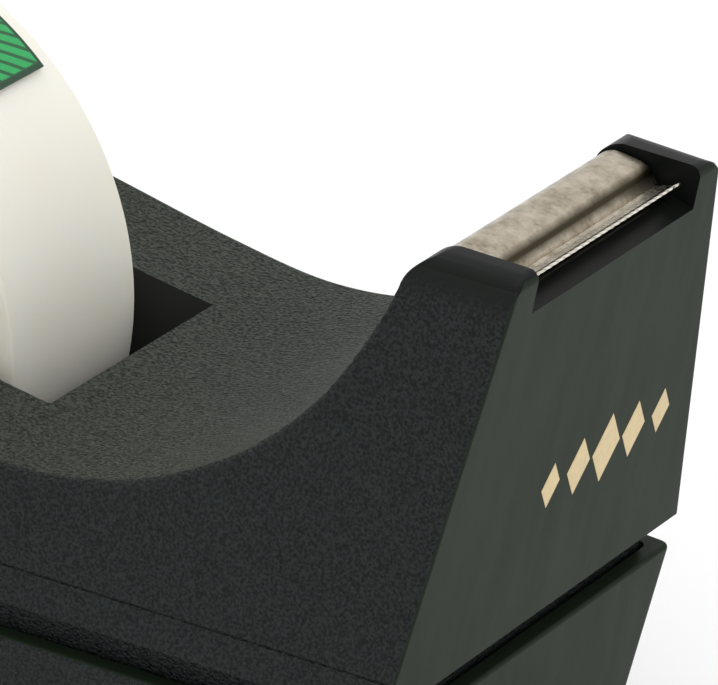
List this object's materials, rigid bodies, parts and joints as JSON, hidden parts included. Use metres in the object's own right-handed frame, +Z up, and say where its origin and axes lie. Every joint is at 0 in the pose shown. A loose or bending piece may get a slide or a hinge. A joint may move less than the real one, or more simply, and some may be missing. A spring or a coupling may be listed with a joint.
{
  "type": "tape dispenser",
  "caption": "Weighted desk tape dispenser: black housing with a saddle top, a metal cutter between raised cheeks, and a lift-out hub that carries a roll of matte tape.",
  "frame": {"origin": "centre of the foot print, on the surface that the pad rests on", "axes": "+X towards the cutter, +Y across the dispenser along the roll's axle, +Z up"},
  "size_m": [0.1449, 0.0632, 0.0637],
  "materials": {
    "housing_plastic": "moulded black, fine grain on the sides and saddle, satin on the front panel",
    "foam_rubber": "closed-cell foam",
    "cast_ballast": "as cast",
    "screw_steel": "zinc plated",
    "plate_nickel": "nickel plated, slightly tarnished",
    "blade_steel": "bright",
    "axle_steel": "drawn",
    "hub_plastic": "moulded black",
    "core_card": "wound card",
    "matte_tape": "translucent white, matte",
    "tab_paper": "printed green paper"
  },
  "bodies": {
    "housing": {"upper_housing": "housing_plastic", "lower_housing": "housing_plastic", "base_pad": "foam_rubber", "ballast_front": "cast_ballast", "ballast_rear": "cast_ballast", "base_screw_1": "screw_steel", "base_screw_2": "screw_steel", "base_screw_3": "screw_steel", "base_screw_4": "screw_steel", "landing_plate": "plate_nickel", "cutter_blade": "blade_steel"},
    "axle": {"hub_axle": "axle_steel"},
    "roll": {"hub_half_right": "hub_plastic", "hub_half_left": "hub_plastic", "tape_core": "core_card", "tape_roll": "matte_tape", "starter_tab": "tab_paper"}
  },
  "joints": [
    {"name": "axle_lift", "type": "slide", "parent": "housing", "child": "axle", "axis": [0, 0, 1], "range_m": [0, 0.05]},
    {"name": "roll_spin", "type": "hinge", "parent": "axle", "child": "roll", "pos_m": [-0.0071, 0, 0.03467], "axis": [0, 1, 0], "continuous": true}
  ]
}
